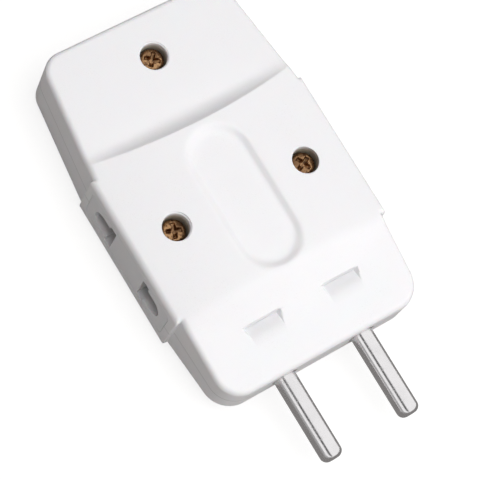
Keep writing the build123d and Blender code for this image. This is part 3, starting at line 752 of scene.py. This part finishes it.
def fastener_tree():
    """Geometry Nodes: a headed fastener turned about Z, with its head's top at a given level."""
    sizes = {"Head Radius": 2.55, "Head Height": 1.9, "Head Dome": 0.3, "Head Soft": 0.5, "Shank Radius": 1.3,
             "Shank Length": 7.0, "Cross Length": 3.4, "Cross Width": 0.8, "Cross Depth": 0.0, "Thread Depth": 0.0,
             "Thread Pitch": 1.1, "Turn": 0.0, "X": 0.0, "Y": 0.0, "Top": 0.0, "Side": 1.0}
    inputs = {"Rows": ("NodeSocketInt", 120), "Segments": ("NodeSocketInt", 72),
              **{k: (FLOAT, v) for k, v in sizes.items()}, "Finish": ("NodeSocketMaterial", None)}
    tree, start, end = new_tree("turned_fastener", "GeometryNodeTree", inputs, {"Geometry": "NodeSocketGeometry"})
    size = {label: Wire(tree, start.outputs[label]) for label in sizes}
    around = Wire(tree, start.outputs["Segments"]) + 1.0
    grid = add_node(tree, "GeometryNodeMeshGrid",
                    {"Size X": 1.0, "Size Y": 1.0, "Vertices X": start.outputs["Rows"], "Vertices Y": around})
    place = add_node(tree, "ShaderNodeSeparateXYZ", {0: add_node(tree, "GeometryNodeInputPosition").outputs[0]})
    under = size["Head Radius"] - size["Shank Radius"]
    whole = size["Head Radius"] * 2.0 + size["Head Height"] + size["Shank Length"]
    walk = (Wire(tree, place.outputs[0]) + 0.5) * whole
    angle = (Wire(tree, place.outputs[1]) + 0.5) * (2 * math.pi)
    side = walk - size["Head Radius"]
    back = side - size["Head Height"]
    shank = back - under
    tip = shank - size["Shank Length"]
    radius = walk.upper(0.0).lower(size["Head Radius"]) - back.upper(0.0).lower(under)
    radius = radius - tip.upper(0.0).lower(size["Shank Radius"])
    level = -(side.upper(0.0).lower(size["Head Height"])) - shank.upper(0.0).lower(size["Shank Length"])
    # domed head with a soft edge
    on_head = (back * SWITCH).minus_from(0.0).limited(0.0, 1.0)
    share = radius / size["Head Radius"]
    level = level - share * share * size["Head Dome"] * on_head * (level + size["Head Height"]) / size["Head Height"]
    lack = (radius - (size["Head Radius"] - size["Head Soft"])).upper(0.0) * on_head
    near_top = ((level + size["Head Dome"] + size["Head Soft"]) / size["Head Soft"]).limited(0.0, 1.0)
    soft = size["Head Soft"]
    level = level - (soft - (soft * soft - lack * lack).upper(0.0).root()) * near_top
    # cross recess
    across = angle + size["Turn"]
    u, v = radius * across.math("COSINE"), radius * across.math("SINE")
    half_long, half_wide = size["Cross Length"] * 0.5, size["Cross Width"] * 0.5
    arm_a = (u.size() - half_long).upper(v.size() - half_wide)
    arm_b = (v.size() - half_long).upper(u.size() - half_wide)
    inside = (arm_a.lower(arm_b, 0.12) * -6.0).limited(0.0, 1.0)
    pointed = (radius / half_long).minus_from(1.25).limited(0.0, 1.0)
    over_top = (side * SWITCH).minus_from(0.0).limited(0.0, 1.0)
    level = level - inside * pointed * size["Cross Depth"] * over_top
    # thread
    phase = (level / size["Thread Pitch"] + angle / (2 * math.pi)).math("FRACT")
    ridge = ((phase - 0.5).size() * -2.0 + 1.0) * size["Thread Depth"]
    on_shank = (shank * 4.0 - 2.0).limited(0.0, 1.0) * ((tip * -3.0).limited(0.0, 1.0))
    radius = radius + ridge * on_shank
    x = (radius * angle.math("COSINE") + size["X"]) * MM
    y = (radius * angle.math("SINE") + size["Y"]) * MM
    z = (level * size["Side"] + size["Top"]) * MM
    spot = add_node(tree, "ShaderNodeCombineXYZ", {0: x, 1: y, 2: z})
    moved = add_node(tree, "GeometryNodeSetPosition",
                     {"Geometry": grid.outputs["Mesh"], "Position": spot.outputs[0]})
    merged = add_node(tree, "GeometryNodeMergeByDistance", {"Geometry": moved.outputs[0], "Distance": JOIN})
    real = add_node(tree, "GeometryNodeRealizeInstances", {0: merged.outputs[0]})
    finish = add_node(tree, "GeometryNodeSetMaterial",
                      {"Geometry": real.outputs[0], "Material": start.outputs["Finish"]})
    tree.links.new(finish.outputs[0], end.inputs[0])
    return tree


turned_fastener = fastener_tree()
print("turned_fastener has", len(turned_fastener.nodes), "nodes")

# %% Grow the screws
for name, (x, y, turn) in SCREWS.items():
    low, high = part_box(name)
    top, length = high[2] / MM, (high[2] - low[2]) / MM
    piece = grow("cross_" + name, bpy.data.meshes.new("seed"), turned_fastener, Rows=150, Segments=84,
                 Head_Radius=2.6, Head_Height=2.2, Head_Dome=0.4, Head_Soft=0.6, Shank_Radius=1.25,
                 Shank_Length=length - SOLID_HEAD,
                 Cross_Length=3.5, Cross_Width=0.95, Cross_Depth=1.25, Thread_Depth=0.18, Thread_Pitch=1.1,
                 Turn=math.radians(turn), X=x, Y=y, Top=top + 0.3, Side=1.0, Finish=gilt_screw)
    face_outwards(piece, JOIN)
    smooth(piece, 50.0)
    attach(piece, "root")
    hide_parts(name)
    print(piece.name, len(piece.data.polygons), "faces")

# %% Grow the rivets
for name in sorted(nodes):
    if not name.endswith("_rivet"):
        continue
    low, high = (Vector(c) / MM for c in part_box(name))
    side = -1.0 if high.z < 0 else 1.0
    piece = grow("round_" + name, bpy.data.meshes.new("seed"), turned_fastener, Rows=60, Segments=40, Head_Radius=1.7,
                 Head_Height=0.6, Head_Dome=0.3, Head_Soft=0.25, Shank_Radius=1.0, Shank_Length=high.z - low.z - 0.6,
                 X=(low.x + high.x) / 2, Y=(low.y + high.y) / 2, Top=high.z if side > 0 else low.z, Side=side,
                 Finish=contact_brass)
    face_outwards(piece, JOIN)
    smooth(piece, 50.0)
    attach(piece, "root")
    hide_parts(name)
print("rivets done")

# %% [markdown]
# ## Plug pins
# A pin is a drawn brass rod with a bright plate, rounded at its tip so that it finds its way into a
# socket. Its profile is a thick tail, a thinner shank in the nose wall and the bare shaft. It is turned
# like the cuts above, and its tail gets the flat that carries its bar.

# %% Turn the pins
for name, side in (("line_pin", -1), ("neutral_pin", 1)):
    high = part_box(name)[1][0] / MM
    tail = [(0, -13.6), (3.2, -13.6), (3.4, -13.4), (3.4, -4.3), (3.3, -4.2)]
    shank = [(2.8, -4.2), (2.8, -0.1), (2.7, 0.0)]
    shaft = [(PIN_RADIUS, 0.0), (PIN_RADIUS, 0.6)]
    shaft += [(PIN_RADIUS, 0.6 + (high - 2.3) * k / 12) for k in range(1, 13)]
    tip = [(PIN_RADIUS - TIP_ROUND + TIP_ROUND * math.sin(a), high - TIP_ROUND + TIP_ROUND * math.cos(a))
           for a in np.linspace(math.pi / 2, 0, 14)]
    profile = tail + shank + shaft + tip + [(0, high)]
    pin = as_object(cut_turned(profile, 96, "X", (0, side * PIN_Y, 0)), "bright_" + name, plated_pin)
    flat_low, flat_high = (2.9, 6.0) if side > 0 else (-6.0, -2.9)
    flat = cut_block((-15.0, side * PIN_Y - 4, flat_low), (-5.8, side * PIN_Y + 4, flat_high))
    boolean(pin, [as_object(flat, "flat")])
    clean(pin)
    smooth(pin, 40.0)
    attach(pin, "root")
    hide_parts(name)
    print(pin.name, len(pin.data.polygons), "faces")

# %% [markdown]
# ## Sheet parts and plates
# The clips, the bars, the card and the outlet plates keep their CAD solids. A Weld modifier joins their
# loose triangles and a narrow bevel gives the stamped or moulded edges a highlight.

# %% Finish the carried-over solids
for name, node in nodes.items():
    if name.endswith("_clip") or name.endswith("_bar"):
        finish, width = contact_brass, 0.03
    elif name == "insulating_card":
        finish, width = fibre_card, 0.08
    elif name.endswith("_outlet_face"):
        finish, width = white_face, 0.28
    else:
        continue
    node.data.materials.clear()
    node.data.materials.append(finish)
    weld = node.modifiers.new("weld", "WELD")
    weld.merge_threshold = 0.000005
    bevel = node.modifiers.new("edges", "BEVEL")
    bevel.width, bevel.segments, bevel.limit_method, bevel.angle_limit = width * MM, 3, "ANGLE", math.radians(40)
print("carried-over solids have their finishes")

# %% [markdown]
# ## Floor, light and camera
# The photograph is a product shot on white with soft light from the front right, so the side with the
# outlet is in shade. The floor is pale, and to the camera it shows nearly white with a faint shadow. The
# lamps don't show in reflections: glossy rays see a white world with a darker doorway in it, and a
# floor that glows evenly.

# %% Floor
floor_z = cad_box[0][2]
bpy.ops.mesh.primitive_plane_add(size=4.0, location=(0.0, 0.0, floor_z))
floor = bpy.context.object
floor.name = "floor"
paper, tree, shader = new_material("paper", Roughness=0.9, Base_Color=(0.68, 0.655, 0.635, 1.0),
                                   Specular_IOR_Level=0.1)
ray = add_node(tree, "ShaderNodeLightPath")
glow = add_node(tree, "ShaderNodeEmission", {"Color": (1.0, 1.0, 1.0, 1.0), "Strength": 0.80})
faint = add_node(tree, "ShaderNodeBsdfDiffuse", {"Color": (0.30, 0.295, 0.29, 1.0)})
shown = add_node(tree, "ShaderNodeAddShader", {0: glow.outputs[0], 1: faint.outputs[0]})
mirrored = add_node(tree, "ShaderNodeEmission", {"Color": (1.0, 0.97, 0.95, 1.0), "Strength": 0.25})
seen = Wire(tree, ray.outputs["Is Camera Ray"]).upper(Wire(tree, ray.outputs["Is Transmission Ray"]))
either = add_node(tree, "ShaderNodeMixShader", {0: seen, 1: shader.outputs[0], 2: shown.outputs[0]})
either = add_node(tree, "ShaderNodeMixShader",
                  {0: ray.outputs["Is Glossy Ray"], 1: either.outputs[0], 2: mirrored.outputs[0]})
tree.links.new(either.outputs[0], tree.nodes["Material Output"].inputs["Surface"])
floor.data.materials.append(paper)
print("floor at", round(floor_z / MM, 2), "mm")

# %% World
world = bpy.data.worlds.new("studio")
bpy.context.scene.world = world
world.use_nodes = True
tree = world.node_tree
tree.nodes.clear()
ray = add_node(tree, "ShaderNodeLightPath")
seen = Wire(tree, ray.outputs["Is Camera Ray"]).upper(Wire(tree, ray.outputs["Is Transmission Ray"]))
seen = seen.upper(Wire(tree, ray.outputs["Is Glossy Ray"]))
fill = add_node(tree, "ShaderNodeBackground", {"Color": (1.0, 0.98, 0.97, 1.0), "Strength": 0.10})
way = add_node(tree, "ShaderNodeSeparateXYZ", {0: add_node(tree, "ShaderNodeTexCoord").outputs["Generated"]})
lean = Wire(tree, way.outputs[1]) / Wire(tree, way.outputs[2]).upper(0.05)
doorway = ((lean + 0.42) * -9.0).limited(0.0, 1.0) * ((lean + 1.05) * 9.0).limited(0.0, 1.0)
doorway = doorway * ((Wire(tree, way.outputs[0]) + 0.45) * 8.0).limited(0.0, 1.0)
doorway = doorway.upper(((lean + 2.4) * -1.5).limited(0.0, 0.7))
doorway = doorway * Wire(tree, ray.outputs["Is Glossy Ray"])
white = add_node(tree, "ShaderNodeBackground", {"Color": (1.0, 1.0, 1.0, 1.0), "Strength": doorway * -0.85 + 1.0})
either = add_node(tree, "ShaderNodeMixShader", {0: seen, 1: fill.outputs[0], 2: white.outputs[0]})
add_node(tree, "ShaderNodeOutputWorld", {0: either.outputs[0]})
print("world ready")


# %% Lamps
def lamp(name, spot, aim, width, watts, colour=(1.0, 1.0, 1.0)):
    """A soft square lamp that looks at a point."""
    light = bpy.data.lights.new(name, "AREA")
    light.shape, light.size, light.energy, light.color = "SQUARE", width, watts, colour
    thing = bpy.data.objects.new(name, light)
    thing.location = spot
    thing.rotation_euler = (Vector(aim) - Vector(spot)).to_track_quat("-Z", "Y").to_euler()
    thing.visible_glossy = False
    bpy.context.collection.objects.link(thing)
    return thing


middle = (-0.035, 0.0, 0.0)
lamp("key_softbox", (0.26, 0.15, 0.53), middle, 0.75, 3.8)
lamp("top_softbox", (-0.12, 0.02, 0.62), middle, 0.60, 1.55)
print("lamps ready")

# %% Camera
view = bpy.data.cameras.new("camera")
view.lens, view.sensor_width, view.clip_start = 165.0, 36.0, 0.01
camera = bpy.data.objects.new("camera", view)
right = Vector((0.5161648660, 0.8244938988, 0.2319130051))
down = Vector((0.8409166792, -0.4364496038, -0.3199544999))
ahead = Vector((-0.1625821939, 0.3601687857, -0.9186106227))
turned = Matrix((right, -down, -ahead)).transposed().to_4x4()
camera.matrix_world = Matrix.Translation(Vector((43.648, -162.499, 408.743)) * MM) @ turned
bpy.context.collection.objects.link(camera)
bpy.context.scene.camera = camera
bpy.context.scene.view_settings.view_transform = "Standard"
print("camera at", [round(v, 3) for v in camera.location])
